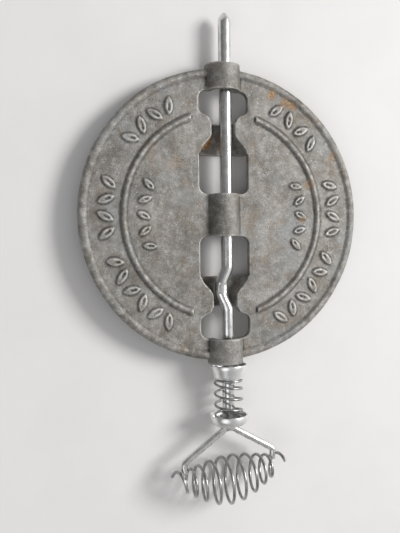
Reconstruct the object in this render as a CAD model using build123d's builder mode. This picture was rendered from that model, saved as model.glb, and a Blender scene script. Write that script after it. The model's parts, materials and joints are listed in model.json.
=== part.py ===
"""Stove-pipe damper: a cast-iron plate on a steel spindle with a sprung, coiled-wire handle.

Millimetres. The origin is where the pipe's axis crosses the spindle's axis. +Y runs along the spindle to
its pointed end, +Z is the face of the plate that the bridges stand on, and X lies across the plate.
"""

import os
from math import cos, pi, sin, tan, radians

from build123d import *

os.makedirs("parts", exist_ok=True)

# Driving dimensions
PLATE_RADIUS = 73.0          # turns inside a 6 in. pipe, whose bore radius is 76.2
PLATE_THICKNESS = 3.6
PLATE_X = -1.5               # the spindle leans this far off the middle of its loose cored seats
RIM_WIDTH = 4.4
RIM_HEIGHT = 5.4
RIB_RADIUS = 51.2
RIB_WIDTH = 3.2
RIB_GAP = 17.0               # the ring rib stops this far from the spindle's line

SPINDLE_RADIUS = 6.35 / 2    # 1/4 in. rod
WIRE_CLEARANCE = 0.075       # running fit of the cups on the spindle

# Stations along the spindle, measured from the middle of the plate towards either end
CENTRE_BRIDGE_END = 10.7
TROUGH_INNER_END = 31.0
TROUGH_WAIST = 41.0
TROUGH_OUTER_END = 46.6
WAIST_FLARE_END = 53.5       # beyond the trough the opening is back to its full width here
END_BRIDGE_START = 62.0
END_BRIDGE_END = 75.0

# Sections across the spindle
WINDOW_HALF_WIDTH = 13.0
WINDOW_CORNER = 4.0
WAIST_HALF_WIDTH = 6.9
SEAT_HALF_WIDTH = 5.4        # inside of a bridge
END_BRIDGE_HALF_WIDTH = 9.0
CENTRE_BRIDGE_HALF_WIDTH = 7.8
BRIDGE_HEIGHT = 8.2
TROUGH_DEPTH = 8.0
TROUGH_DROP = 1.0            # each trough is this much deeper at its wide end
TROUGH_STATIONS = 6
TROUGH_WALL = 2.5
TROUGH_DRAFT = 2.4           # each trough wall leans in by this much from lip to floor

# Spindle, yoke and grip
TIP_Y = 101.3
TIP_LENGTH = 5.6
TIP_FLAT = 0.5
TIP_TAPER = 5.0              # the corners between the point's four faces lean in by this angle
KINK_OFFSET = 3.3
KINK_Y = -37.0
KINK_HALF_LENGTH = 11.5
SPINDLE_END = -107.2
YOKE_WIRE_RADIUS = 1.65
YOKE_APEX = -107.9           # where the centre lines of its two arms meet
YOKE_CORNER_X = 24.1
YOKE_FOOT_X = 23.5
LEFT_FOOT_Y = -129.6
RIGHT_FOOT_Y = -126.4
GRIP_WIRE_RADIUS = 0.75
GRIP_HALF_LENGTH = 26.0
GRIP_END_RADIUS = 4.4
GRIP_MIDDLE_RADIUS = 11.8
GRIP_Y = -130.4              # chord of the grip's axis, at the spindle
GRIP_BOW = 4.2               # the grip's axis bows this far out from its chord
GRIP_LEAN = 4.6              # degrees, the grip sits askew on the yoke
GRIP_HALF_TURNS = 4.72
POINTS_PER_TURN = 9
CORNER_GROWTH = 1 / cos(pi / POINTS_PER_TURN)   # the bends' arcs then lie on the wanted circle

# Cups and spring
SHEET = 0.8
PIPE_CUP_MOUTH = -75.5
PIPE_CUP_END = -82.6
PIPE_CUP_MOUTH_RADIUS = 9.4
PIPE_CUP_END_RADIUS = 7.9
HANDLE_CUP_MOUTH = -101.1
HANDLE_CUP_END = -107.0
HANDLE_CUP_RADIUS = 9.95
HANDLE_CUP_END_RADIUS = 5.2
CUP_LIP = 1.4
SPRING_WIRE_RADIUS = 0.6
SPRING_RADIUS = 6.85
SPRING_TURNS = 4.75
SPRING_CLOSED_TURNS = 0.7
SPRING_START_ANGLE = 1.12 * pi


def across(y: float) -> Plane:
    """A plane square to the spindle at y: its sketch runs along X and Z, centred on the plate."""
    return Plane(origin=(PLATE_X, y, 0), x_dir=(1, 0, 0), z_dir=(0, -1, 0))


def spindle_hole() -> Sketch:
    """The running-fit hole round the spindle, as a sketch square to it."""
    with BuildSketch(Plane(origin=(0, 0, 0), z_dir=(0, 1, 0))) as hole:
        Circle(SPINDLE_RADIUS + WIRE_CLEARANCE)
    return hole.sketch


def bent_wire(points: list, radius: float) -> None:
    """A round wire in the part being built, bent at each point in as large an arc as its two runs allow."""
    stations = [Vector(*point) for point in points]
    bends = []
    for before, here, after in zip(stations, stations[1:], stations[2:]):
        half_turn = radians((here - before).get_angle(after - here)) / 2
        bends.append(0.49 * min((here - before).length, (after - here).length) / tan(half_turn))
    with BuildLine() as route:
        FilletPolyline(*stations, radius=bends)
    with BuildSketch(Plane(origin=route.line @ 0, z_dir=route.line % 0)) as wire:
        Circle(radius)
    sweep(wire.sketch, path=route.line)


# ---------------------------------------------------------------- damper plate
SIDES = (1, -1)

def channel(y: float, half_width: float, wall: float, floor: float, top: float) -> Sketch:
    """Section of a trough at y: leaning sides and rounded floor corners, grown by wall."""
    lean = TROUGH_DRAFT * (floor + top) / TROUGH_DEPTH
    with BuildSketch(across(y)) as section:
        with BuildLine():
            Polyline(
                (half_width + wall, top),
                (-half_width - wall, top),
                (-half_width - wall + lean, -floor),
                (half_width + wall - lean, -floor),
                close=True,
            )
        make_face()
        fillet(section.vertices().group_by(Axis.Z)[0], 2.0)
    return section.sketch


def trough_sections(side: int, wall: float, floor: float, top: float) -> list:
    """Sections of one trough, from its outer end through its waist to its wide, deeper inner end."""
    sections = [channel(side * TROUGH_OUTER_END, WAIST_HALF_WIDTH, wall, floor, top)]
    for station in range(TROUGH_STATIONS):
        share = station / (TROUGH_STATIONS - 1)
        eased = share * share * (3 - 2 * share)
        y = TROUGH_WAIST + (TROUGH_INNER_END - TROUGH_WAIST) * share
        half_width = WAIST_HALF_WIDTH + (WINDOW_HALF_WIDTH - WAIST_HALF_WIDTH) * eased
        sections.append(channel(side * y, half_width, wall, floor + TROUGH_DROP * eased, top))
    return sections


with BuildPart() as damper_plate:
    # disc and rim bead, turned about the pipe's axis
    with BuildSketch(Plane(origin=(PLATE_X, 0, 0), x_dir=(1, 0, 0), z_dir=(0, -1, 0))):
        with Locations(((PLATE_RADIUS - RIM_WIDTH / 2) / 2, 0)):
            Rectangle(PLATE_RADIUS - RIM_WIDTH / 2, PLATE_THICKNESS)
        with Locations((PLATE_RADIUS - RIM_WIDTH / 2, 0)):
            RectangleRounded(RIM_WIDTH, RIM_HEIGHT, RIM_WIDTH * 0.42)
    revolve(axis=Axis((PLATE_X, 0, 0), (0, 0, 1)))

    # ring rib on the front, left off near the spindle
    with BuildSketch(Plane(origin=(PLATE_X, 0, 0), x_dir=(1, 0, 0), z_dir=(0, -1, 0))):
        with Locations((RIB_RADIUS, PLATE_THICKNESS / 2 - 0.3)):
            Circle(RIB_WIDTH / 2)
    revolve(axis=Axis((PLATE_X, 0, 0), (0, 0, 1)))
    with BuildSketch(Plane(origin=(PLATE_X, 0, PLATE_THICKNESS / 2))):
        Rectangle(2 * RIB_GAP, 2 * RIB_RADIUS + 2 * RIB_WIDTH)
    extrude(amount=RIM_HEIGHT, mode=Mode.SUBTRACT)

    # troughs behind the spindle
    for side in SIDES:
        loft(trough_sections(side, TROUGH_WALL, TROUGH_DEPTH, 0)[:2])
        loft(trough_sections(side, TROUGH_WALL, TROUGH_DEPTH, 0)[1:])

    # half-barrel bridges in front of the spindle
    for side in SIDES:
        with BuildSketch(across(side * END_BRIDGE_START)):
            Ellipse(END_BRIDGE_HALF_WIDTH, BRIDGE_HEIGHT)
            with Locations((0, -BRIDGE_HEIGHT - PLATE_THICKNESS / 2)):
                Rectangle(4 * BRIDGE_HEIGHT, 2 * BRIDGE_HEIGHT, mode=Mode.SUBTRACT)
        extrude(amount=-side * (END_BRIDGE_END - END_BRIDGE_START))
    with BuildSketch(across(0)):
        Ellipse(CENTRE_BRIDGE_HALF_WIDTH, BRIDGE_HEIGHT)
        with Locations((0, -BRIDGE_HEIGHT - PLATE_THICKNESS / 2)):
            Rectangle(4 * BRIDGE_HEIGHT, 2 * BRIDGE_HEIGHT, mode=Mode.SUBTRACT)
    extrude(amount=CENTRE_BRIDGE_END, both=True)

    # the seats under the bridges, open at the back
    seat_spans = [(-CENTRE_BRIDGE_END, CENTRE_BRIDGE_END)]
    for side in SIDES:
        seat_spans.append(tuple(sorted((side * END_BRIDGE_START, side * (END_BRIDGE_END + 1)))))
    for low, high in seat_spans:
        with BuildSketch(across(high)):
            Circle(SEAT_HALF_WIDTH)
            with Locations((0, -BRIDGE_HEIGHT)):
                Rectangle(2 * SEAT_HALF_WIDTH, 2 * BRIDGE_HEIGHT)
        extrude(amount=high - low, mode=Mode.SUBTRACT)

    # the insides of the troughs, open at the front
    for side in SIDES:
        loft(trough_sections(side, 0, TROUGH_DEPTH - TROUGH_WALL, PLATE_THICKNESS)[:2], mode=Mode.SUBTRACT)
        loft(trough_sections(side, 0, TROUGH_DEPTH - TROUGH_WALL, PLATE_THICKNESS)[1:], mode=Mode.SUBTRACT)

    # windows right through the plate, two beside each end bridge and two beside the centre one
    for side in SIDES:
        with BuildSketch(Plane(origin=(PLATE_X, 0, -2 * TROUGH_DEPTH))) as outer_window:
            with BuildLine():
                away = (0, side)
                outer_corners = [(-WINDOW_HALF_WIDTH, side * WAIST_FLARE_END), (WINDOW_HALF_WIDTH, side * WAIST_FLARE_END)]
                waist_corners = [(-WAIST_HALF_WIDTH, side * TROUGH_OUTER_END), (WAIST_HALF_WIDTH, side * TROUGH_OUTER_END)]
                for waist_corner, outer_corner in zip(waist_corners, outer_corners):
                    Spline(waist_corner, outer_corner, tangents=[away, away])
                Line(*waist_corners)
                Polyline(
                    outer_corners[0],
                    (-WINDOW_HALF_WIDTH, side * END_BRIDGE_START),
                    (WINDOW_HALF_WIDTH, side * END_BRIDGE_START),
                    outer_corners[1],
                )
            make_face()
            ends = outer_window.vertices().sort_by(Axis.Y)
            fillet(ends[-2:] if side > 0 else ends[:2], WINDOW_CORNER)
        extrude(amount=4 * TROUGH_DEPTH, mode=Mode.SUBTRACT)
        with BuildSketch(Plane(origin=(PLATE_X, 0, -2 * TROUGH_DEPTH))) as inner_window:
            with Locations((0, side * (TROUGH_INNER_END + CENTRE_BRIDGE_END) / 2)):
                Rectangle(2 * WINDOW_HALF_WIDTH, TROUGH_INNER_END - CENTRE_BRIDGE_END)
            ends = inner_window.vertices().sort_by(Axis.Y)
            fillet(ends[:2] if side > 0 else ends[-2:], WINDOW_CORNER)
        extrude(amount=4 * TROUGH_DEPTH, mode=Mode.SUBTRACT)
damper_plate.part.label = "damper_plate"

# ---------------------------------------------------------------- spindle
# Four-sided point: the rod's end, cut by a square taper.
with BuildPart() as point:
    with BuildSketch(Plane(origin=(0, TIP_Y - TIP_LENGTH, 0), x_dir=(1, 0, 0), z_dir=(0, 1, 0))):
        Circle(SPINDLE_RADIUS)
    extrude(amount=TIP_LENGTH, taper=TIP_TAPER)
    with BuildSketch(Plane(origin=(0, TIP_Y - TIP_LENGTH, 0), x_dir=(1, 0, 1), z_dir=(0, 1, 0))):
        Rectangle(2 * SPINDLE_RADIUS, 2 * SPINDLE_RADIUS)
    with BuildSketch(Plane(origin=(0, TIP_Y, 0), x_dir=(1, 0, 1), z_dir=(0, 1, 0))):
        Rectangle(2 * TIP_FLAT, 2 * TIP_FLAT)
    loft(mode=Mode.INTERSECT)

with BuildPart() as spindle:
    with BuildLine() as spindle_line:
        FilletPolyline(
            (0, TIP_Y - TIP_LENGTH, 0),
            (0, KINK_Y + KINK_HALF_LENGTH, 0),
            (-KINK_OFFSET, KINK_Y + 1.2, 0),
            (-KINK_OFFSET, KINK_Y - 1.2, 0),
            (0, KINK_Y - KINK_HALF_LENGTH, 0),
            (0, SPINDLE_END, 0),
            radius=[8.0, 3.6, 3.6, 8.0],
        )
    with BuildSketch(Plane(origin=spindle_line.line @ 0, z_dir=spindle_line.line % 0)):
        Circle(SPINDLE_RADIUS)
    sweep(path=spindle_line.line)
    add(point.part)
spindle.part.label = "spindle"

# ---------------------------------------------------------------- cup washers
with BuildPart() as pipe_cup:
    with BuildSketch(Plane.XY) as pipe_cup_section:
        with BuildLine():
            Polyline(
                (0, PIPE_CUP_MOUTH),
                (PIPE_CUP_MOUTH_RADIUS, PIPE_CUP_MOUTH),
                (PIPE_CUP_MOUTH_RADIUS, PIPE_CUP_MOUTH - CUP_LIP),
                (PIPE_CUP_END_RADIUS, PIPE_CUP_END),
                (0, PIPE_CUP_END),
                close=True,
            )
        make_face()
        with BuildLine():
            Polyline(
                (0, PIPE_CUP_MOUTH),
                (PIPE_CUP_MOUTH_RADIUS - SHEET, PIPE_CUP_MOUTH),
                (PIPE_CUP_MOUTH_RADIUS - SHEET, PIPE_CUP_MOUTH - CUP_LIP),
                (PIPE_CUP_END_RADIUS - SHEET, PIPE_CUP_END + SHEET),
                (0, PIPE_CUP_END + SHEET),
                close=True,
            )
        make_face(mode=Mode.SUBTRACT)
    revolve(axis=Axis.Y)
    extrude(spindle_hole(), amount=2 * END_BRIDGE_END, both=True, mode=Mode.SUBTRACT)
pipe_cup.part.label = "pipe_cup_washer"


def dome_outline(radius: float, end_radius: float, end: float) -> None:
    """Half outline of the handle cup at one of its faces: a lip, a round shoulder and a flat end."""
    shoulder = HANDLE_CUP_MOUTH - CUP_LIP
    Polyline((0, end), (0, HANDLE_CUP_MOUTH), (radius, HANDLE_CUP_MOUTH), (radius, shoulder))
    middle = (end_radius + (radius - end_radius) * sin(pi / 4), end + (shoulder - end) * (1 - cos(pi / 4)))
    ThreePointArc((radius, shoulder), middle, (end_radius, end))
    Line((end_radius, end), (0, end))


with BuildPart() as handle_cup:
    with BuildSketch(Plane.XY):
        with BuildLine():
            dome_outline(HANDLE_CUP_RADIUS, HANDLE_CUP_END_RADIUS, HANDLE_CUP_END)
        make_face()
        with BuildLine():
            dome_outline(HANDLE_CUP_RADIUS - SHEET, HANDLE_CUP_END_RADIUS - SHEET / 2, HANDLE_CUP_END + SHEET)
        make_face(mode=Mode.SUBTRACT)
    revolve(axis=Axis.Y)
    extrude(spindle_hole(), amount=2 * END_BRIDGE_END, both=True, mode=Mode.SUBTRACT)
handle_cup.part.label = "handle_cup_washer"

# ---------------------------------------------------------------- compression spring
spring_first = PIPE_CUP_END - SPRING_WIRE_RADIUS - 0.05
spring_last = HANDLE_CUP_END + 3.6
active_turns = SPRING_TURNS - 2 * SPRING_CLOSED_TURNS
closed_drop = SPRING_CLOSED_TURNS * 2 * SPRING_WIRE_RADIUS
active_drop = spring_first - spring_last - 2 * closed_drop


def spring_point(turn: float) -> tuple:
    """The spring's wire centre after so many turns from the pipe side: closed, open, closed."""
    closed = min(turn, SPRING_CLOSED_TURNS) + max(turn - SPRING_TURNS + SPRING_CLOSED_TURNS, 0)
    opened = turn - closed
    drop = closed / SPRING_CLOSED_TURNS * closed_drop + opened / active_turns * active_drop
    angle = SPRING_START_ANGLE + 2 * pi * turn
    radius = SPRING_RADIUS * CORNER_GROWTH
    return (radius * cos(angle), spring_first - drop, -radius * sin(angle))


with BuildPart() as spring:
    spring_steps = round(SPRING_TURNS * POINTS_PER_TURN)
    bent_wire([spring_point(SPRING_TURNS * i / spring_steps) for i in range(spring_steps + 1)], SPRING_WIRE_RADIUS)
spring.part.label = "spring"

# ---------------------------------------------------------------- yoke
with BuildPart() as yoke:
    with BuildLine() as yoke_line:
        FilletPolyline(
            (-YOKE_FOOT_X, LEFT_FOOT_Y, 0),
            (-YOKE_CORNER_X, LEFT_FOOT_Y + 5.4, 0),
            (0.3, YOKE_APEX, 0),
            (YOKE_CORNER_X, RIGHT_FOOT_Y + 5.4, 0),
            (YOKE_FOOT_X, RIGHT_FOOT_Y, 0),
            radius=[3.4, 6.0, 3.2],
        )
    with BuildSketch(Plane(origin=yoke_line.line @ 0, z_dir=yoke_line.line % 0)):
        Circle(YOKE_WIRE_RADIUS)
    sweep(path=yoke_line.line)
    # root that joins the spindle's end face
    with BuildSketch(Plane(origin=(0, SPINDLE_END, 0), x_dir=(1, 0, 0), z_dir=(0, -1, 0))):
        Circle(SPINDLE_RADIUS)
    extrude(amount=2.0, taper=22)
yoke.part.label = "yoke"


# ---------------------------------------------------------------- coiled-wire grip
def grip_x(turn: float) -> float:
    """How far along the grip the wire is, that many turns from its middle: wide, close, then hooked."""
    size = abs(turn)
    wide_pitch, close_pitch, hook_pitch = 6.5, 4.2, 9.4
    reach = wide_pitch * min(size, 1.8)
    step = min(max(size - 1.8, 0), 1.2)
    reach += step * wide_pitch - (wide_pitch - close_pitch) * step * step / 2.4
    reach += close_pitch * min(max(size - 3.0, 0), 1.0)
    reach += hook_pitch * max(size - 4.0, 0)
    return reach if turn >= 0 else -reach


def grip_point(turn: float) -> tuple:
    """The grip wire's centre: a barrel-shaped helix about a bowed axis that leans on the yoke."""
    x = grip_x(turn)
    share = min(abs(x) / GRIP_HALF_LENGTH, 1.0)
    radius = GRIP_END_RADIUS + (GRIP_MIDDLE_RADIUS - GRIP_END_RADIUS) * max(cos(pi / 2 * share), 0) ** 1.25
    radius *= CORNER_GROWTH
    angle = 2 * pi * (turn + 0.5)
    axis_y = GRIP_Y - GRIP_BOW * (1 - share * share) + x * tan(radians(GRIP_LEAN))
    return (x, axis_y + radius * cos(angle), radius * sin(angle))


with BuildPart() as coil_grip:
    grip_steps = round(2 * GRIP_HALF_TURNS * POINTS_PER_TURN)
    bent_wire(
        [grip_point(GRIP_HALF_TURNS * (2 * i / grip_steps - 1)) for i in range(grip_steps + 1)],
        GRIP_WIRE_RADIUS,
    )
coil_grip.part.label = "coil_grip"

export_step(damper_plate.part, "parts/damper_plate.step")
export_step(spindle.part, "parts/spindle.step")
export_step(pipe_cup.part, "parts/pipe_cup_washer.step")
export_step(handle_cup.part, "parts/handle_cup_washer.step")
export_step(spring.part, "parts/spring.step")
export_step(yoke.part, "parts/yoke.step")
export_step(coil_grip.part, "parts/coil_grip.step")
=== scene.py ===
"""Stove-pipe damper: the finished looks of its casting, spindle, cups, spring and coiled handle.

Metres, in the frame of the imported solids: the origin is where the pipe's axis crosses the spindle, +Y runs
along the spindle to its point, and +Z is the face that the bridges stand on.
"""

import json
import logging
import math
from dataclasses import dataclass, field
from enum import Enum
from typing import Any, Callable, Iterable, Sequence

import bpy
import numpy as np
from mathutils import Matrix, Vector

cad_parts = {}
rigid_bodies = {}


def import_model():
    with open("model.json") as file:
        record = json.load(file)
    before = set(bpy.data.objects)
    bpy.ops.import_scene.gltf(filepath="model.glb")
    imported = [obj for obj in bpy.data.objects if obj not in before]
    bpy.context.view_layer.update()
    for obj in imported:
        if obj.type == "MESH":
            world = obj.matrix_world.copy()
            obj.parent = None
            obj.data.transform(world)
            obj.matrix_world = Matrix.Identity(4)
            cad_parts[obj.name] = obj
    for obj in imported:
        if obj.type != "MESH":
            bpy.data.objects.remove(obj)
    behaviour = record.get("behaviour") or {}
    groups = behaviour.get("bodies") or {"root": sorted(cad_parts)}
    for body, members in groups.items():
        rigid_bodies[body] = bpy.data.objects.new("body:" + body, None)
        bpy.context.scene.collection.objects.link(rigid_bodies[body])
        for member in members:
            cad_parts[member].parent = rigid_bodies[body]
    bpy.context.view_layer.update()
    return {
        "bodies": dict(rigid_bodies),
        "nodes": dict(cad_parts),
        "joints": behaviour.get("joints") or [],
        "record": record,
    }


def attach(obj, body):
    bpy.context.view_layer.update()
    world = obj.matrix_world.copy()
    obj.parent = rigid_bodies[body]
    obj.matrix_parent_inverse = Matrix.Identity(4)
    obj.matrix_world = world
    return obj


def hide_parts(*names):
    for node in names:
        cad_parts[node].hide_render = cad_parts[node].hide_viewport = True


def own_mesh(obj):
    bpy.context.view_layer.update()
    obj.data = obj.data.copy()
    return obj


LOG = logging.getLogger("damper")
MM = 0.001


# ------------------------------------------------------------------ shader arithmetic
class Link:
    """An output socket of a shader node, with the arithmetic that a finish is written in."""

    def __init__(self, graph: "Graph", socket: bpy.types.NodeSocket) -> None:
        """Wraps a socket of a graph."""
        self.graph = graph
        self.socket = socket

    def _math(self, operation: str, first: Any, second: Any = 0.0) -> "Link":
        """One Math node on two numbers or links."""
        return self.graph.node("ShaderNodeMath", {"operation": operation}, {0: first, 1: second})

    def __add__(self, other: Any) -> "Link":
        """self + other."""
        return self._math("ADD", self, other)

    def __radd__(self, other: Any) -> "Link":
        """other + self."""
        return self._math("ADD", other, self)

    def __sub__(self, other: Any) -> "Link":
        """self - other."""
        return self._math("SUBTRACT", self, other)

    def __rsub__(self, other: Any) -> "Link":
        """other - self."""
        return self._math("SUBTRACT", other, self)

    def __mul__(self, other: Any) -> "Link":
        """self * other."""
        return self._math("MULTIPLY", self, other)

    def __rmul__(self, other: Any) -> "Link":
        """other * self."""
        return self._math("MULTIPLY", other, self)

    def __truediv__(self, other: Any) -> "Link":
        """self / other."""
        return self._math("DIVIDE", self, other)

    def top(self, other: Any) -> "Link":
        """The larger of the two."""
        return self._math("MAXIMUM", self, other)

    def low(self, other: Any) -> "Link":
        """The smaller of the two."""
        return self._math("MINIMUM", self, other)

    def clamp(self) -> "Link":
        """Held between 0 and 1."""
        return self.top(0.0).low(1.0)

    def step(self, start: float, end: float) -> "Link":
        """Rises smoothly from 0 at start to 1 at end.

        Args:
            start: the value below which the result is 0.
            end: the value above which the result is 1.

        Returns:
            The eased share between the two.
        """
        ease = {"interpolation_type": "SMOOTHSTEP"}
        ends = {"Value": self, "From Min": start, "From Max": end}
        return self.graph.node("ShaderNodeMapRange", ease, ends)


class Graph:
    """A node material being written, with one Principled shader at its end."""

    def __init__(self, name: str) -> None:
        """Starts an empty node material.

        Args:
            name: the material's name.
        """
        self.material = bpy.data.materials.new(name)
        self.material.use_nodes = True
        self.tree = self.material.node_tree
        self.tree.nodes.clear()
        self._at_mm: Link | None = None

    def node(self, kind: str, settings: dict[str, Any], sockets: dict[Any, Any], output: Any = 0) -> Link:
        """Adds a node.

        Args:
            kind: the node's type.
            settings: its properties, set before its sockets; "stops" are a ramp's (place, colour) pairs.
            sockets: a value or a link for each input, by name or number.
            output: the output that is handed back.

        Returns:
            The chosen output.
        """
        made = self.tree.nodes.new(kind)
        for name, value in settings.items():
            if name == "stops":
                for stop, (place, colour) in zip(self._stops(made, len(value)), value):
                    stop.position = place
                    stop.color = (*colour, 1.0)
            else:
                setattr(made, name, value)
        for name, value in sockets.items():
            if isinstance(value, Link):
                self.tree.links.new(value.socket, made.inputs[name])
            else:
                made.inputs[name].default_value = value
        return Link(self, made.outputs[output]) if made.outputs else Link(self, made.inputs[0])

    @staticmethod
    def _stops(ramp: bpy.types.Node, count: int) -> list[bpy.types.ColorRampElement]:
        """A ramp's elements, as many as are wanted."""
        elements = ramp.color_ramp.elements
        while len(elements) < count:
            elements.new(1.0)
        return list(elements)

    def place(self) -> Link:
        """The point on the piece, in millimetres."""
        if self._at_mm is None:
            at = self.node("ShaderNodeTexCoord", {}, {}, "Object")
            scaled = {"operation": "SCALE"}
            self._at_mm = self.node("ShaderNodeVectorMath", scaled, {0: at, "Scale": 1.0 / MM})
        return self._at_mm

    def axis(self, which: int) -> Link:
        """One coordinate of the point, in millimetres."""
        return self.node("ShaderNodeSeparateXYZ", {}, {0: self.place()}, which)

    def stretched(self, along: tuple[float, float, float]) -> Link:
        """The point with each axis multiplied, for streaks."""
        return self.node("ShaderNodeVectorMath", {"operation": "MULTIPLY"}, {0: self.place(), 1: along})

    def noise(self, size: float, detail: float = 3.0, at: Link | None = None, rough: float = 0.55) -> Link:
        """Cloudy noise.

        Args:
            size: how many millimetres across one cloud is.
            detail: how many finer layers it has.
            at: where it is read, the plain point if left out.
            rough: how strong the finer layers are.

        Returns:
            A number about 0.5.
        """
        sockets = {"Vector": at or self.place(), "Scale": 1.0 / size, "Detail": detail, "Roughness": rough}
        return self.node("ShaderNodeTexNoise", {}, sockets, 0)

    def cells(self, size: float) -> Link:
        """Distance to the nearest of many scattered points, size millimetres apart."""
        sockets = {"Vector": self.place(), "Scale": 1.0 / size}
        return self.node("ShaderNodeTexVoronoi", {}, sockets, "Distance")

    def mix(self, share: Any, first: Any, second: Any) -> Link:
        """Colour from first to second by share."""
        as_colour = {"data_type": "RGBA"}
        ends = {0: share, 6: self._rgba(first), 7: self._rgba(second)}
        return self.node("ShaderNodeMix", as_colour, ends, 2)

    @staticmethod
    def _rgba(colour: Any) -> Any:
        """A colour with its alpha, or the link as it is."""
        return colour if isinstance(colour, Link) else (*colour, 1.0)

    def own(self, name: str) -> Link:
        """A number that the piece's mesh carries at each point."""
        return self.node("ShaderNodeAttribute", {"attribute_name": name}, {}, "Fac")

    def bump(self, height: Any, depth: float, strength: float = 1.0, under: Link | None = None) -> Link:
        """Relief in millimetres.

        Args:
            height: the relief's height, from 0 to 1.
            depth: how deep 1 is, in millimetres.
            strength: how much of it shows.
            under: a coarser relief below it.

        Returns:
            The bent normal.
        """
        sockets = {"Strength": strength, "Distance": depth * MM, "Height": height}
        if under is not None:
            sockets["Normal"] = under
        return self.node("ShaderNodeBump", {}, sockets, "Normal")

    def close(self, sockets: dict[str, Any]) -> bpy.types.Material:
        """Ends the material with a Principled shader.

        Args:
            sockets: the shader's values and links.

        Returns:
            The finished material.
        """
        shader = self.node("ShaderNodeBsdfPrincipled", {}, sockets)
        self.node("ShaderNodeOutputMaterial", {}, {"Surface": shader})
        return self.material


Colour = tuple[float, float, float]


@dataclass(frozen=True)
class RustSpot:
    """A patch of rust on the casting: where it is across the plate and how wide, in millimetres."""

    x: float
    y: float
    width: float
    strength: float = 1.0


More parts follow.
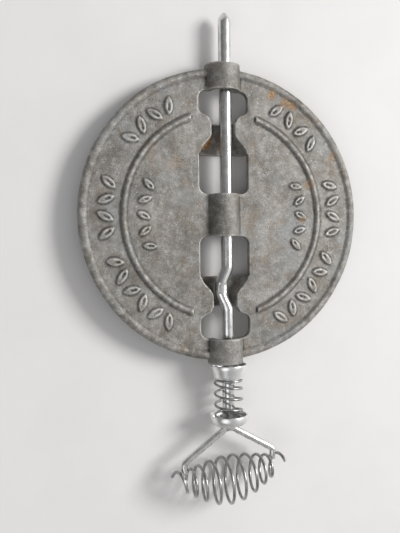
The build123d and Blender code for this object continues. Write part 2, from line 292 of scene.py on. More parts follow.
@dataclass(frozen=True)
class CastIron:
    """Raw grey iron: a sandy skin, mottled greys, edges lightened partly by wear and partly by painted
    highlight, painted glints, painted shade in the corners, dirt in pits and specks, a little rust.
    """

    dark: Colour = (0.125, 0.113, 0.098)
    light: Colour = (0.375, 0.365, 0.345)
    # Pale bare-metal colour: real wear on the edges, and also the painted highlight along edges and the
    # painted glints.
    worn_and_highlight: Colour = (0.66, 0.65, 0.62)
    # Near-black colour: dirt in pits and specks, and also the painted shade in hollows.
    grime_and_shade: Colour = (0.040, 0.036, 0.030)
    brown: Colour = (0.185, 0.150, 0.112)
    blue: Colour = (0.27, 0.29, 0.30)
    rust: Colour = (0.30, 0.145, 0.058)
    ochre: Colour = (0.56, 0.35, 0.12)
    spots: tuple[RustSpot, ...] = (
        RustSpot(25.0, 61.0, 4.6, 0.9),
        RustSpot(32.0, 57.5, 5.6, 0.75),
        RustSpot(36.5, 56.0, 4.0, 0.55),
        RustSpot(58.0, 31.0, 4.2, 0.7),
        RustSpot(45.0, 16.0, 4.6, 0.55),
        RustSpot(41.0, -2.0, 3.6, 0.6),
        RustSpot(-26.0, 25.0, 7.0, 0.25),
    )
    trough_rust: RustSpot = RustSpot(-10.2, 38.5, 6.0, 1.0)

    def material(self) -> bpy.types.Material:
        """The finish as a node material."""
        g = Graph("cast_iron")
        broad = g.noise(16.0, 4.0)
        middle = g.noise(3.2, 5.0, rough=0.62)
        fine = g.noise(0.55, 3.0, rough=0.7)
        mottle = (broad * 0.45 + middle * 0.45 + fine * 0.30 - 0.10).step(0.30, 0.72)
        colour = g.mix(mottle, self.dark, self.light)
        colour = g.mix(g.noise(24.0, 3.0).step(0.50, 0.72) * 0.45, colour, self.blue)
        edge = g.own("edge")
        # Raised edges are lightened: partly real rubbing, partly a painted highlight along the edges.
        rubbed_and_highlit = (edge * 1.2 + (middle - 0.5) * 0.9).step(0.16, 0.75)
        colour = g.mix(g.noise(9.0, 5.0, rough=0.65).step(0.50, 0.66) * 0.60, colour, self.brown)
        colour = g.mix(rubbed_and_highlit * 0.48, colour, self.worn_and_highlight)
        # Painted glints: small bright highlight spots scattered over the surface.
        glints = fine.step(0.56, 0.70) * middle.step(0.44, 0.62)
        colour = g.mix(glints * 0.75, colour, self.worn_and_highlight)
        # Painted shade: the colour darkens in hollows and corners, where shade falls.
        hollow = (0.0 - edge).step(0.06, 0.55)
        pits = 1.0 - g.cells(2.6).step(0.05, 0.17)
        specks = 1.0 - g.cells(0.9).step(0.10, 0.26)
        # Darkening from painted shade in the hollows, plus dirt in pits and specks.
        grimy_and_shaded = (hollow * 0.85 + pits * 0.45 + specks * middle.step(0.42, 0.6) * 0.35).clamp()
        colour = g.mix(grimy_and_shaded, colour, self.grime_and_shade)
        rust = self._rust(g, middle, fine)
        tone = g.mix(g.noise(1.1, 3.0).step(0.44, 0.64), self.rust, self.ochre)
        colour = g.mix(rust * 0.80, colour, tone)
        relief = g.bump(g.noise(1.1, 4.0, rough=0.7), 0.20)
        relief = g.bump(pits * -1.0 + fine * 0.7, 0.12, 0.9, relief)
        return g.close(
            {
                "Base Color": colour,
                "Metallic": (0.50 + rubbed_and_highlit * 0.20 - rust * 0.4 - hollow * 0.3).clamp(),
                "Roughness": (0.52 + mottle * 0.06 - rubbed_and_highlit * 0.06 + rust * 0.25 + hollow * 0.2).clamp(),
                "Normal": relief,
            }
        )

    def _rust(self, g: Graph, middle: Link, fine: Link) -> Link:
        """How rusty the casting is: a few patches, ragged at their edges, and thin freckles everywhere."""
        flat = {"operation": "MULTIPLY"}
        across = g.node("ShaderNodeVectorMath", flat, {0: g.place(), 1: (1.0, 1.0, 0.0)})
        ragged = middle * 1.1 + fine * 0.9 - 0.5
        total = g.noise(7.0, 4.0).step(0.66, 0.76) * fine.step(0.5, 0.62) * 0.35
        for spot in self.spots:
            total = total + self._patch(g, across, spot, ragged)
        inside = (0.0 - g.axis(2)).step(0.6, 1.6)
        total = total + self._patch(g, across, self.trough_rust, middle * 0.6 + 0.55) * inside
        return total.clamp()

    @staticmethod
    def _patch(g: Graph, across: Link, spot: RustSpot, ragged: Link) -> Link:
        """How much of one patch shows, thinning out raggedly from its middle.

        Args:
            g: the material that is being written.
            across: the point flattened onto the plate, in millimetres.
            spot: the patch.
            ragged: noise that eats into it.

        Returns:
            From 0 to the patch's strength.
        """
        measure = {"operation": "DISTANCE"}
        away = g.node("ShaderNodeVectorMath", measure, {0: across, 1: (spot.x, spot.y, 0.0)}, "Value")
        near = 1.0 - (away / spot.width).clamp()
        return ((near + 0.35) * ragged).step(0.28, 0.62) * near.step(0.0, 0.15) * spot.strength


@dataclass(frozen=True)
class PlatedSteel:
    """Plated steel rod, wire or sheet: half bright, cloudy, scuffed lengthwise, with specks and stains."""

    name: str
    bright: Colour = (0.83, 0.83, 0.82)
    cloudy: Colour = (0.62, 0.62, 0.61)
    stain: Colour = (0.26, 0.21, 0.16)
    speck: Colour = (0.07, 0.06, 0.05)
    roughness: float = 0.27
    stained: float = 0.35
    specks: float = 0.6
    streaks: tuple[float, float, float] = (1.0, 0.12, 1.0)

    def material(self) -> bpy.types.Material:
        """The finish as a node material."""
        g = Graph(self.name)
        cloud = g.noise(4.5, 4.0)
        scuff = g.noise(0.35, 3.0, g.stretched(self.streaks), 0.65)
        colour = g.mix((cloud * 0.6 + scuff * 0.5).step(0.38, 0.70), self.cloudy, self.bright)
        stains = g.noise(6.5, 5.0, rough=0.7).step(0.56, 0.74) * self.stained
        colour = g.mix(stains, colour, self.stain)
        specks = (1.0 - g.cells(2.1).step(0.05, 0.17)) * g.noise(5.0).step(0.48, 0.60) * self.specks
        colour = g.mix(specks, colour, self.speck)
        relief = g.bump(scuff, 0.006, 0.6)
        relief = g.bump(specks * -1.0, 0.08, 0.8, relief)
        rough = (self.roughness + cloud * 0.10 + scuff * 0.10 - 0.10 + stains * 0.3 + specks * 0.4).clamp()
        return g.close(
            {
                "Base Color": colour,
                "Metallic": (1.0 - specks * 0.6 - stains * 0.25).clamp(),
                "Roughness": rough,
                "Normal": relief,
            }
        )


# ------------------------------------------------------------------ modelling bench
class Solver(Enum):
    """What a cutter does to a piece."""

    KEEP_BOTH = "INTERSECT"
    CUT = "DIFFERENCE"


class Bench:
    """The operators that pieces are made with."""

    @staticmethod
    def clear() -> None:
        """Puts every object down."""
        if bpy.context.object is not None and bpy.context.object.mode != "OBJECT":
            bpy.ops.object.mode_set(mode="OBJECT")
        bpy.ops.object.select_all(action="DESELECT")

    @classmethod
    def take(cls, piece: bpy.types.Object) -> bpy.types.Object:
        """Selects one object alone and makes it active."""
        cls.clear()
        piece.select_set(True)
        bpy.context.view_layer.objects.active = piece
        return piece

    @classmethod
    def newest(cls, name: str) -> bpy.types.Object:
        """The object that an operator just added, renamed."""
        piece = bpy.context.object
        piece.name = name
        return piece

    @classmethod
    def edit(cls, piece: bpy.types.Object, nothing: bool = True) -> None:
        """Opens a piece in edit mode, with nothing or everything selected."""
        cls.take(piece)
        bpy.ops.object.mode_set(mode="EDIT")
        bpy.ops.mesh.select_all(action="DESELECT" if nothing else "SELECT")

    @staticmethod
    def leave() -> None:
        """Closes edit mode."""
        bpy.ops.object.mode_set(mode="OBJECT")

    @classmethod
    def pick_faces(cls, piece: bpy.types.Object, test: Callable[[Vector, Vector], bool]) -> int:
        """Selects the faces that pass a test on their centre and normal, and opens edit mode.

        Args:
            piece: the piece whose faces are chosen.
            test: tells from a face's centre and normal whether it is chosen.

        Returns:
            How many were chosen.
        """
        cls.edit(piece)
        cls.leave()
        count = 0
        for face in piece.data.polygons:
            face.select = bool(test(face.center, face.normal))
            count += face.select
        bpy.ops.object.mode_set(mode="EDIT")
        bpy.ops.mesh.select_mode(type="FACE")
        return count

    @classmethod
    def pick_points(cls, piece: bpy.types.Object, test: Callable[[Vector], bool]) -> None:
        """Selects the vertices whose place passes a test, and opens edit mode."""
        cls.edit(piece)
        bpy.ops.mesh.select_mode(type="VERT")
        cls.leave()
        for point in piece.data.vertices:
            point.select = bool(test(point.co))
        bpy.ops.object.mode_set(mode="EDIT")

    @classmethod
    def apply_place(cls, piece: bpy.types.Object) -> None:
        """Puts an object's place, turn and scale into its mesh."""
        cls.take(piece)
        bpy.ops.object.transform_apply(location=True, rotation=True, scale=True)

    @classmethod
    def modifier(cls, piece: bpy.types.Object, kind: str, **settings: Any) -> None:
        """Adds one modifier and applies it."""
        cls.take(piece)
        made = piece.modifiers.new(kind.lower(), kind)
        for name, value in settings.items():
            setattr(made, name, value)
        bpy.ops.object.modifier_apply(modifier=made.name)

    @classmethod
    def combine(cls, piece: bpy.types.Object, other: bpy.types.Object, how: Solver) -> None:
        """Cuts, keeps or adds another closed shape, which is then thrown away."""
        cls.modifier(piece, "BOOLEAN", operation=how.value, object=other, solver="EXACT")
        bpy.data.objects.remove(other)

    @classmethod
    def join(cls, name: str, pieces: Sequence[bpy.types.Object]) -> bpy.types.Object:
        """Joins objects into the first one."""
        cls.clear()
        for piece in pieces:
            piece.select_set(True)
        bpy.context.view_layer.objects.active = pieces[0]
        if len(pieces) > 1:
            bpy.ops.object.join()
        pieces[0].name = name
        return pieces[0]

    @classmethod
    def merge(cls, piece: bpy.types.Object, within: float = 0.002) -> None:
        """Merges doubled points and turns the faces outwards."""
        cls.edit(piece, nothing=False)
        bpy.ops.mesh.remove_doubles(threshold=within * MM)
        bpy.ops.mesh.select_all(action="SELECT")
        bpy.ops.mesh.normals_make_consistent(inside=False)
        cls.leave()

    @classmethod
    def copy(cls, piece: bpy.types.Object, name: str) -> bpy.types.Object:
        """A copy with its own mesh and no parent."""
        made = bpy.data.objects.new(name, piece.data.copy())
        bpy.context.scene.collection.objects.link(made)
        return made

    @classmethod
    def smooth(cls, piece: bpy.types.Object, degrees: float = 35.0) -> None:
        """Shades a piece smooth but for its sharp edges."""
        cls.take(piece)
        bpy.ops.object.shade_smooth_by_angle(angle=math.radians(degrees))

    @classmethod
    def wire(
        cls, name: str, points: Iterable[Vector], radius: float, sides: int = 5, runs: int = 4
    ) -> bpy.types.Object:
        """A round wire along a smooth line.

        Args:
            name: the piece's name.
            points: the line's control points, in millimetres.
            radius: the wire's radius, in millimetres.
            sides: how finely the wire is rounded.
            runs: how many steps lie between two control points.

        Returns:
            The wire as a closed mesh.
        """
        line = bpy.data.curves.new(name, "CURVE")
        line.dimensions = "3D"
        line.bevel_depth = radius * MM
        line.bevel_resolution = sides
        line.use_fill_caps = True
        route = list(points)
        spline = line.splines.new("NURBS")
        spline.points.add(len(route) - 1)
        for knot, point in zip(spline.points, route):
            knot.co = (point[0] * MM, point[1] * MM, point[2] * MM, 1.0)
        spline.order_u = 4
        spline.use_endpoint_u = True
        spline.resolution_u = runs
        piece = bpy.data.objects.new(name, line)
        bpy.context.scene.collection.objects.link(piece)
        cls.take(piece)
        bpy.ops.object.convert(target="MESH")
        piece = bpy.context.object
        cls.merge(piece, 0.01)
        return piece

    @classmethod
    def turned(cls, name: str, rings: Sequence[tuple[float, float]], sides: int = 96) -> bpy.types.Object:
        """A surface turned about the spindle, open at both ends.

        Args:
            name: the piece's name.
            rings: the profile, as radius and place along the spindle, in millimetres.
            sides: how many sides the circle has.

        Returns:
            The open shell, one circle drawn on from ring to ring.
        """
        first, start = rings[0]
        bpy.ops.object.select_all(action="DESELECT")
        bpy.ops.mesh.primitive_circle_add(
            vertices=sides,
            radius=first * MM,
            location=(0, start * MM, 0),
            rotation=(math.pi / 2, 0, 0),
        )
        piece = cls.newest(name)
        cls.apply_place(piece)
        cls.edit(piece, nothing=False)
        for (radius, place), (before, came) in zip(rings[1:], rings):
            step = (0, (place - came) * MM, 0)
            bpy.ops.mesh.extrude_region_move(TRANSFORM_OT_translate={"value": step})
            bpy.ops.transform.resize(
                value=(radius / before, 1, radius / before), center_override=(0, place * MM, 0)
            )
        cls.leave()
        return piece


# ------------------------------------------------------------------ sub-assemblies
@dataclass
class Piece:
    """What the damper's pieces share: how they are dressed and what they stand for."""

    def settle(
        self, piece: bpy.types.Object, node: str, body: str, slot: str, look: bpy.types.Material
    ) -> None:
        """Dresses a finished piece and lets it ride.

        Args:
            piece: the finished mesh.
            node: the solid it stands for.
            body: the body it moves with.
            slot: the record's material slot; not used.
            look: its material.
        """
        piece.data.materials.clear()
        piece.data.materials.append(look)
        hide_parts(node)
        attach(piece, body)
        LOG.info("%s: %d faces, rides on %s", piece.name, len(piece.data.polygons), body)


class Mark(Enum):
    """The raised ornaments round the plate, by how they lean from the radius, in degrees."""

    LEAF_BACK = -27.0
    LEAF_ON = 27.0


@dataclass
class Casting(Piece):
    """The iron plate with its rim, ring rib, bridges, troughs and raised ornament."""

    centre_x: float = -1.5
    face: float = 1.8
    voxel: float = 0.42
    outer_radius: float = 60.2
    outer_size: float = 9.4
    inner_radius: float = 41.5
    inner_size: float = 7.6
    inner_start: float = 21.0
    inner_step: float = 10.6
    inner_count: int = 5
    leaf_width: float = 0.50
    vein: float = 1.15
    raised: float = 1.0
    most_triangles: int = 190000
    waves: tuple[float, float] = (14.0, 0.30)
    sand: tuple[float, float] = (1.5, 0.16)
    stands_out: float = 0.16
    groups: tuple[tuple[float, int, float], ...] = ((62.0, 4, 8.0), (15.0, 4, 7.8), (-22.0, 6, 7.7))
    marks: list[bpy.types.Object] = field(default_factory=list)

    def disc(self, name: str, radius: float, aside: float) -> bpy.types.Object:
        """An upright round blank, one of the two that a leaf is the overlap of."""
        bpy.ops.object.select_all(action="DESELECT")
        bpy.ops.mesh.primitive_cylinder_add(
            vertices=64, radius=radius * MM, depth=2 * self.raised * MM, location=(0, aside * MM, 0)
        )
        piece = Bench.newest(name)
        Bench.apply_place(piece)
        return piece

    def leaf(self, size: float) -> bpy.types.Object:
        """A raised pointed leaf with a vein sunk down its middle."""
        half_width = self.leaf_width * size / 2
        radius = (size * size / 4 + half_width * half_width) / (2 * half_width)
        piece = self.disc("leaf", radius, radius - half_width)
        Bench.combine(piece, self.disc("other_side", radius, half_width - radius), Solver.KEEP_BOTH)
        Bench.pick_faces(piece, lambda centre, normal: normal.z > 0.9)
        bpy.ops.transform.resize(value=(0.93, 0.80, 1), center_override=(0, 0, self.raised * MM))
        Bench.leave()
        bpy.ops.object.select_all(action="DESELECT")
        bpy.ops.mesh.primitive_cube_add(size=1.0, location=(0.08 * size * MM, 0, self.raised * MM))
        vein = Bench.newest("vein")
        vein.scale = (0.68 * size * MM, self.vein * MM, 1.7 * self.raised * MM)
        Bench.apply_place(vein)
        Bench.pick_points(vein, lambda at: at.x > 0)
        bpy.ops.transform.resize(value=(1, 0.35, 1), center_override=(0, 0, 0))
        Bench.leave()
        Bench.combine(piece, vein, Solver.CUT)
        return piece

    def mark(self, kind: Mark, size: float, radius: float, degrees: float) -> None:
        """Raises one leaf on the front.

        Args:
            kind: which way it leans.
            size: its length, in millimetres.
            radius: how far out its middle is, in millimetres.
            degrees: its direction from the plate's centre.
        """
        piece = self.leaf(size)
        turn = math.radians(degrees)
        place = ((self.centre_x + radius * math.cos(turn)) * MM, radius * math.sin(turn) * MM, self.face * MM)
        piece.rotation_euler = (0, 0, turn + math.radians(kind.value))
        piece.location = place
        Bench.apply_place(piece)
        self.marks.append(piece)

    def ornament(self) -> None:
        """Raises the three groups of leaves round each side, and the smaller ones inside the ring rib."""
        order = (Mark.LEAF_BACK, Mark.LEAF_ON)
        for side in (1, -1):
            for start, count, step in self.groups:
                for number in range(count):
                    degrees = start - step * number
                    around = degrees if side > 0 else 180 - degrees
                    self.mark(order[number % 2], self.outer_size, self.outer_radius, around)
            for number in range(self.inner_count):
                degrees = self.inner_start - self.inner_step * number
                around = degrees if side > 0 else 180 - degrees
                self.mark(order[number % 2], self.inner_size, self.inner_radius, around)

    def cast(self, solid: bpy.types.Object) -> bpy.types.Object:
        """Casts the plate: the solid and its ornament in one skin, with soft corners and a sandy surface.

        Args:
            solid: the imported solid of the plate.

        Returns:
            The finished casting.
        """
        base = Bench.copy(solid, "casting_base")
        Bench.edit(base, nothing=False)
        bpy.ops.mesh.remove_doubles(threshold=0.002 * MM)
        Bench.leave()
        self.ornament()
        piece = Bench.join("plate_casting", [base, *self.marks])
        Bench.modifier(piece, "REMESH", mode="VOXEL", voxel_size=self.voxel * MM, use_smooth_shade=True)
        Bench.modifier(piece, "SMOOTH", factor=0.5, iterations=2)
        self.skin(piece, *self.waves)
        self.skin(piece, *self.sand)
        self.edges(piece)
        triangles = 2 * len(piece.data.polygons)
        if triangles > self.most_triangles:
            Bench.modifier(piece, "DECIMATE", ratio=self.most_triangles / triangles)
        Bench.take(piece)
        bpy.ops.object.shade_smooth()
        return piece

    def skin(self, piece: bpy.types.Object, size: float, depth: float) -> None:
        """Lifts and sinks the surface in clouds, both in millimetres."""
        clouds = bpy.data.textures.new("sand", "CLOUDS")
        clouds.noise_scale = size * MM
        clouds.noise_depth = 2
        Bench.modifier(
            piece, "DISPLACE", texture=clouds, texture_coords="LOCAL", strength=depth * MM, mid_level=0.5
        )
        bpy.data.textures.remove(clouds)

    def edges(self, piece: bpy.types.Object) -> None:
        """Marks how far each point stands out of its surroundings, for edges lightened by wear and painted
        highlight, and for painted shade in the corners.
        """
        mesh = piece.data
        count = len(mesh.vertices)
        place = np.empty(count * 3)
        mesh.vertices.foreach_get("co", place)
        place = place.reshape(-1, 3)
        ends = np.empty(len(mesh.edges) * 2, int)
        mesh.edges.foreach_get("vertices", ends)
        ends = ends.reshape(-1, 2)
        valence = np.bincount(ends.ravel(), minlength=count).astype(float)

        def around(values: np.ndarray) -> np.ndarray:
            """The mean of each point's neighbours."""
            total = np.zeros_like(values)
            np.add.at(total, ends[:, 0], values[ends[:, 1]])
            np.add.at(total, ends[:, 1], values[ends[:, 0]])
            return total / (valence[:, None] if values.ndim == 2 else valence)

        settled = place
        for _ in range(5):
            settled = 0.5 * settled + 0.5 * around(settled)
        normals = np.empty(count * 3)
        mesh.vertices.foreach_get("normal", normals)
        stands = ((place - settled) * normals.reshape(-1, 3)).sum(1) / (self.stands_out * MM)
        for _ in range(2):
            stands = 0.5 * stands + 0.5 * around(stands)
        edge = mesh.attributes.new("edge", "FLOAT", "POINT")
        edge.data.foreach_set("value", np.clip(stands, -1, 1).astype(np.float32))

    def make(self, frame: dict[str, Any]) -> bpy.types.Object:
        """Builds and dresses the casting."""
        piece = self.cast(frame["nodes"]["damper_plate"])
        self.settle(piece, "damper_plate", "plate", "casting", CastIron().material())
        return piece


@dataclass
class SpindleRod(Piece):
    """The plated rod: a ground four-sided point, a pressed kink and a straight shank."""

    radius: float = 3.175
    tip: float = 101.3
    tip_length: float = 5.6
    tip_flat: float = 0.55
    kink: float = 3.3
    kink_y: float = -37.0
    kink_reach: float = 11.5
    kink_steps: int = 40
    crown_offset: float = 0.4
    crown_half_length: float = 2.4
    end: float = -107.2

    def offset(self, y: float) -> float:
        """How far the kink pushes the rod's middle to one side at y."""
        away = abs(y - self.kink_y)
        if away > self.kink_reach:
            return 0.0
        share = max(0.0, min(1.0, (self.kink_reach - away) / (self.kink_reach - 1.6)))
        return -self.kink * share * share * (3 - 2 * share)

    def make(self, look: bpy.types.Material) -> bpy.types.Object:
        """Draws the rod on from its shank to its tip, presses the kink and grinds the point."""
        bpy.ops.object.select_all(action="DESELECT")
        bpy.ops.mesh.primitive_circle_add(
            vertices=48,
            radius=self.radius * MM,
            fill_type="NGON",
            location=(0, self.end * MM, 0),
            rotation=(math.pi / 2, 0, 0),
        )
        piece = Bench.newest("spindle_rod")
        Bench.apply_place(piece)
        Bench.edit(piece, nothing=False)
        stations = [self.kink_y - self.kink_reach - 1.0]
        steps = self.kink_steps
        stations += [self.kink_y + self.kink_reach * (2 * i / steps - 1) for i in range(steps + 1)]
        stations += [self.kink_y + self.kink_reach + 1.0, 0.0, 60.0, self.tip - self.tip_length - 1, self.tip]
        here = Vector((0, self.end, 0))
        for y in stations:
            there = Vector((self.offset(y), y, 0))
            bpy.ops.mesh.extrude_region_move(TRANSFORM_OT_translate={"value": (there - here) * MM})
            here = there
        Bench.leave()
        self.press_kink(piece)
        self.grind_point(piece)
        Bench.merge(piece)
        Bench.modifier(piece, "BEVEL", width=0.25 * MM, segments=2, limit_method="ANGLE", angle_limit=0.6)
        Bench.smooth(piece, 40.0)
        self.settle(piece, "spindle", "spindle", "spindle_rod", look)
        return piece

    def press_kink(self, piece: bpy.types.Object) -> None:
        """Flattens the crown of the kink, where the press squeezed it."""
        crown = self.kink_y + self.crown_offset
        reach, height = self.crown_half_length, 0.62 * self.radius * MM
        Bench.pick_points(piece, lambda at: abs(at.y / MM - crown) < reach and at.z > height)
        bpy.ops.transform.resize(value=(1, 1, 0.45), center_override=(0, crown * MM, 0.72 * self.radius * MM))
        Bench.leave()

    def grind_point(self, piece: bpy.types.Object) -> None:
        """Cuts the four slanting faces of the point."""
        slope = (self.radius * 1.18 - self.tip_flat) / self.tip_length
        lean = math.atan(slope)
        for quarter in range(4):
            turn = math.radians(45 + 90 * quarter)
            out = Vector((math.cos(turn) * math.cos(lean), math.sin(lean), math.sin(turn) * math.cos(lean)))
            through = Vector((math.cos(turn) * self.tip_flat, self.tip, math.sin(turn) * self.tip_flat)) * MM
            Bench.edit(piece, nothing=False)
            bpy.ops.mesh.bisect(plane_co=through, plane_no=out, use_fill=True, clear_outer=True)
            Bench.leave()


@dataclass
class CupWashers(Piece):
    """The two pressed cups that hold the spring's ends."""

    sheet: float = 0.8
    hole: float = 3.3
    pipe_mouth: tuple[float, float] = (9.4, -75.5)
    pipe_end: tuple[float, float] = (7.9, -82.6)
    handle_mouth: tuple[float, float] = (9.95, -101.1)
    handle_end: tuple[float, float] = (5.2, -107.0)

    def pipe_rings(self) -> list[tuple[float, float]]:
        """Profile of the tapered cup, from its hole out over its shoulder to its rolled mouth."""
        end_r, end_y = self.pipe_end
        mouth_r, mouth_y = self.pipe_mouth
        rings = [(self.hole, end_y), (end_r - 1.1, end_y), (end_r - 0.5, end_y + 0.12)]
        rings += [(end_r - 0.1, end_y + 0.5), (end_r + 0.1, end_y + 1.2)]
        for i in range(1, 6):
            share = i / 5
            radius = end_r + 0.1 + (mouth_r - 0.15 - end_r) * share
            rings.append((radius, end_y + 1.2 + (mouth_y - 2.7 - end_y) * share))
        rings += [(mouth_r, mouth_y - 0.8), (mouth_r, mouth_y)]
        return rings

    def handle_rings(self) -> list[tuple[float, float]]:
        """Profile of the domed cup, from its hole out round its shoulder to its mouth."""
        end_r, end_y = self.handle_end
        mouth_r, mouth_y = self.handle_mouth
        rings = [(self.hole, end_y), (end_r, end_y)]
        rise = mouth_y - 1.4 - end_y
        for i in range(1, 10):
            turn = math.pi / 2 * i / 9
            rings.append((end_r + (mouth_r - end_r) * math.sin(turn), end_y + rise * (1 - math.cos(turn))))
        rings.append((mouth_r, mouth_y))
        return rings

    def press(self, name: str, rings: list[tuple[float, float]]) -> bpy.types.Object:
        """Presses a cup out of sheet."""
        piece = Bench.turned(name, rings)
        Bench.edit(piece, nothing=False)
        bpy.ops.mesh.normals_make_consistent(inside=False)
        Bench.leave()
        outward = piece.data.polygons[len(piece.data.polygons) // 2]
        if outward.normal.dot(Vector((outward.center.x, 0, outward.center.z))) < 0:
            Bench.edit(piece, nothing=False)
            bpy.ops.mesh.flip_normals()
            Bench.leave()
        Bench.modifier(piece, "SOLIDIFY", thickness=self.sheet * MM, offset=-1.0, use_even_offset=True)
        Bench.modifier(piece, "BEVEL", width=0.22 * MM, segments=3, limit_method="ANGLE", angle_limit=0.7)
        Bench.smooth(piece, 32.0)
        return piece

    def make(self, look: bpy.types.Material) -> None:
        """Builds and dresses both cups."""
        pipe = self.press("pipe_cup", self.pipe_rings())
        self.settle(pipe, "pipe_cup_washer", "pipe_cup", "cups", look)
        handle = self.press("handle_cup", self.handle_rings())
        self.settle(handle, "handle_cup_washer", "handle_cup", "cups", look)


@dataclass
class Spring(Piece):
    """The compression spring, with its end turns closed."""

    wire: float = 0.64
    radius: float = 6.85
    first: float = -83.25
    last: float = -103.4
    turns: float = 4.75
    closed: float = 0.7
    start: float = 1.12
    per_turn: int = 16
    push: float = 9.0

    def point(self, turn: float) -> Vector:
        """The wire's middle, that many turns from the pipe side."""
        shut = min(turn, self.closed) + max(turn - self.turns + self.closed, 0.0)
        opened = turn - shut
        shut_drop = 2 * self.wire * shut
        room = self.first - self.last - 4 * self.wire * self.closed
        angle = math.pi * self.start + 2 * math.pi * turn
        grow = 1 / math.cos(math.pi / self.per_turn) ** 0.66
        drop = shut_drop + opened / (self.turns - 2 * self.closed) * room
        wide = self.radius * grow
        return Vector((wide * math.cos(angle), self.first - drop, -wide * math.sin(angle)))

    def make(self, look: bpy.types.Material) -> bpy.types.Object:
        """Winds the spring."""
        steps = round(self.turns * self.per_turn)
        points = [self.point(self.turns * i / steps) for i in range(steps + 1)]
        piece = Bench.wire("spring_coil", points, self.wire)
        Bench.smooth(piece, 50.0)
        self.settle(piece, "spring", "plate", "spring_wire", look)
        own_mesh(piece)
        return piece


@dataclass
class Handle(Piece):
    """The forked yoke, welded to the spindle's end, and the barrel-shaped wire coil sprung over its feet."""

    yoke_radius: float = 1.72
    apex: float = -107.9
    corner_x: float = 24.1
    foot_x: float = 23.5
    left_foot: float = -129.6
    right_foot: float = -126.4
    wire: float = 0.78
    half_length: float = 26.0
    end_radius: float = 4.4
    middle_radius: float = 11.8
    chord: float = -130.4
    bow: float = 4.2
    lean: float = 4.6
    half_turns: float = 4.72
    per_turn: int = 18
    root_place: float = -108.35
    root_radii: tuple[float, float] = (3.15, 2.1)
    root_length: float = 2.2

    def arm(self, side: int, foot: float) -> list[Vector]:
        """The centre line of one arm, from the apex to its bent foot."""
        corner = Vector((side * self.corner_x, foot + 5.4, 0))
        apex = Vector((0.3 + side * 1.2, self.apex + 0.05, 0))
        run = corner - apex
        points = [apex + run * share for share in (0.0, 0.12, 0.3, 0.5, 0.7, 0.85, 0.93)]
        points += [corner + Vector((-side * 0.25, -0.15, 0)), corner + Vector((-side * 0.1, -1.9, 0))]
        points += [Vector((side * self.foot_x, foot + 1.6, 0)), Vector((side * self.foot_x, foot, 0))]
        return points

    def make_yoke(self, look: bpy.types.Material) -> bpy.types.Object:
        """Bends both arms and welds them to a short root."""
        left = self.arm(-1, self.left_foot)
        right = self.arm(1, self.right_foot)
        wire = Bench.wire("yoke_wire", [*reversed(left), *right], self.yoke_radius, 7, 5)
        bpy.ops.object.select_all(action="DESELECT")
        bpy.ops.mesh.primitive_cone_add(
            vertices=48,
            radius1=self.root_radii[0] * MM,
            radius2=self.root_radii[1] * MM,
            depth=self.root_length * MM,
            location=(0, self.root_place * MM, 0),
            rotation=(math.pi / 2, 0, 0),
        )
        root = Bench.newest("yoke_root")
        Bench.apply_place(root)
        piece = Bench.join("yoke_fork", [wire, root])
        Bench.modifier(piece, "REMESH", mode="VOXEL", voxel_size=0.22 * MM, use_smooth_shade=True)
        Bench.modifier(piece, "SMOOTH", factor=0.5, iterations=3)
        Bench.take(piece)
        bpy.ops.object.shade_smooth()
        self.settle(piece, "yoke", "spindle", "yoke_wire", look)
        return piece

    def reach(self, turn: float) -> float:
        """How far along the grip the wire is, that many turns from the middle: wide, close, then hooked."""
        size = abs(turn)
        step = min(max(size - 1.8, 0.0), 1.2)
        far = 6.5 * min(size, 1.8) + step * 6.5 - 2.3 * step * step / 2.4
        far += 4.2 * min(max(size - 3.0, 0.0), 1.0) + 9.4 * max(size - 4.0, 0.0)
        return far if turn >= 0 else -far

    def grip_point(self, turn: float) -> Vector:
        """The grip wire's middle: a barrel-shaped coil about a bowed, leaning axis."""
        x = self.reach(turn)
        share = min(abs(x) / self.half_length, 1.0)
        radius = self.end_radius
        radius += (self.middle_radius - self.end_radius) * max(math.cos(math.pi / 2 * share), 0.0) ** 1.25
        radius /= math.cos(math.pi / self.per_turn) ** 0.66
        angle = 2 * math.pi * (turn + 0.5)
        axis = self.chord - self.bow * (1 - share * share) + x * math.tan(math.radians(self.lean))
        return Vector((x, axis + radius * math.cos(angle), radius * math.sin(angle)))

    def make_grip(self, look: bpy.types.Material) -> bpy.types.Object:
        """Winds the coil."""
        steps = round(2 * self.half_turns * self.per_turn)
        points = [self.grip_point(self.half_turns * (2 * i / steps - 1)) for i in range(steps + 1)]
        piece = Bench.wire("grip_coil", points, self.wire, 5, 3)
        Bench.smooth(piece, 50.0)
        self.settle(piece, "coil_grip", "spindle", "grip_wire", look)
        return piece


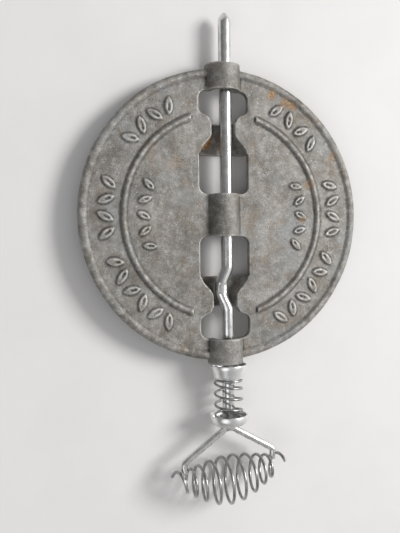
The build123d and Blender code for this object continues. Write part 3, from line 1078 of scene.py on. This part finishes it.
# ------------------------------------------------------------------ studio
@dataclass
class Studio:
    """A pale floor, a broad light from the right, a weak one from the left, and the camera."""

    floor_low: float = -12.7
    floor_slope: float = 0.0212
    focal: float = 43.9
    camera: tuple[float, float, float] = (-106.5, -16.9, 311.8)
    look: tuple[float, float, float] = (0.28350, -0.02688, -0.95860)
    up: tuple[float, float, float] = (0.02005, 0.99955, -0.02210)

    def lay_floor(self) -> None:
        """A wide pale floor that the troughs and the grip rest on."""
        bpy.ops.object.select_all(action="DESELECT")
        bpy.ops.mesh.primitive_grid_add(x_subdivisions=4, y_subdivisions=4, size=12.0)
        floor = Bench.newest("floor")
        floor.rotation_euler = (math.atan(self.floor_slope), 0, 0)
        floor.location = (0, -134.0 * MM, self.floor_low * MM)
        Bench.apply_place(floor)
        g = Graph("floor_paint")
        paint = g.mix(g.noise(40.0, 3.0).step(0.3, 0.7), (0.775, 0.76, 0.752), (0.80, 0.787, 0.78))
        floor.data.materials.append(g.close({"Base Color": paint, "Roughness": 0.7, "Metallic": 0.0}))

    def light(self, name: str, place: Vector, size: float, watts: float, tint: Colour) -> None:
        """Hangs one square light that faces the damper."""
        lamp = bpy.data.lights.new(name, "AREA")
        lamp.shape = "DISK"
        lamp.size = size
        lamp.energy = watts
        lamp.color = tint
        hung = bpy.data.objects.new(name, lamp)
        bpy.context.scene.collection.objects.link(hung)
        hung.location = place
        hung.rotation_euler = (-place).to_track_quat("-Z", "Y").to_euler()

    def surroundings(self) -> None:
        """A pale room, brighter overhead and to the right, for the plating to mirror."""
        world = bpy.data.worlds.new("room")
        bpy.context.scene.world = world
        world.use_nodes = True
        tree = world.node_tree
        tree.nodes.clear()
        where = tree.nodes.new("ShaderNodeTexCoord")
        split = tree.nodes.new("ShaderNodeSeparateXYZ")
        ramp = tree.nodes.new("ShaderNodeValToRGB")
        ramp.color_ramp.elements[0].position = 0.15
        ramp.color_ramp.elements[0].color = (0.30, 0.30, 0.31, 1)
        ramp.color_ramp.elements[1].position = 0.85
        ramp.color_ramp.elements[1].color = (1.0, 1.0, 1.0, 1)
        half = tree.nodes.new("ShaderNodeMath")
        half.operation = "MULTIPLY_ADD"
        half.inputs[1].default_value = 0.5
        half.inputs[2].default_value = 0.5
        shine = tree.nodes.new("ShaderNodeBackground")
        shine.inputs["Strength"].default_value = 0.59
        out = tree.nodes.new("ShaderNodeOutputWorld")
        tree.links.new(where.outputs["Generated"], split.inputs[0])
        tree.links.new(split.outputs[0], half.inputs[0])
        tree.links.new(half.outputs[0], ramp.inputs[0])
        tree.links.new(ramp.outputs[0], shine.inputs["Color"])
        tree.links.new(shine.outputs[0], out.inputs["Surface"])

    def set_camera(self) -> None:
        """Hangs the camera above and to the left, looking down on the damper."""
        lens = bpy.data.cameras.new("camera")
        lens.lens = self.focal
        lens.sensor_width = 36.0
        lens.clip_start = 0.01
        hung = bpy.data.objects.new("camera", lens)
        bpy.context.scene.collection.objects.link(hung)
        back = -Vector(self.look).normalized()
        up = Vector(self.up).normalized()
        right = up.cross(back).normalized()
        up = back.cross(right)
        turn = Matrix((right, up, back)).transposed().to_4x4()
        hung.matrix_world = Matrix.Translation(Vector(self.camera) * MM) @ turn
        bpy.context.scene.camera = hung

    def make(self) -> None:
        """Sets up the whole studio."""
        self.lay_floor()
        self.surroundings()
        self.light("key", Vector((0.85, 0.22, 0.80)), 0.50, 11.6, (1.0, 0.99, 0.98))
        self.light("fill", Vector((-0.7, -0.5, 0.9)), 0.9, 2.6, (0.97, 0.98, 1.0))
        self.set_camera()
        bpy.context.scene.view_settings.view_transform = "Standard"


def main() -> None:
    """Builds every piece in order, then the studio."""
    logging.basicConfig(level=logging.INFO, format="%(message)s")
    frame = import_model()
    Bench.clear()
    Casting().make(frame)
    rod = PlatedSteel("plated_rod", stained=0.22, specks=0.45, roughness=0.24).material()
    cups = PlatedSteel(
        "plated_sheet",
        bright=(0.93, 0.93, 0.92),
        cloudy=(0.78, 0.78, 0.77),
        roughness=0.33,
        stained=0.14,
        streaks=(1.0, 0.5, 1.0),
    ).material()
    wire = PlatedSteel(
        "plated_wire", (0.50, 0.50, 0.49), (0.27, 0.27, 0.265), roughness=0.30, specks=0.3
    ).material()
    yoke = PlatedSteel("plated_yoke", (0.82, 0.82, 0.81), (0.62, 0.62, 0.61), stained=0.2).material()
    SpindleRod().make(rod)
    CupWashers().make(cups)
    Spring().make(wire)
    handle = Handle()
    handle.make_yoke(yoke)
    handle.make_grip(wire)
    Studio().make()


if __name__ == "__main__":
    main()
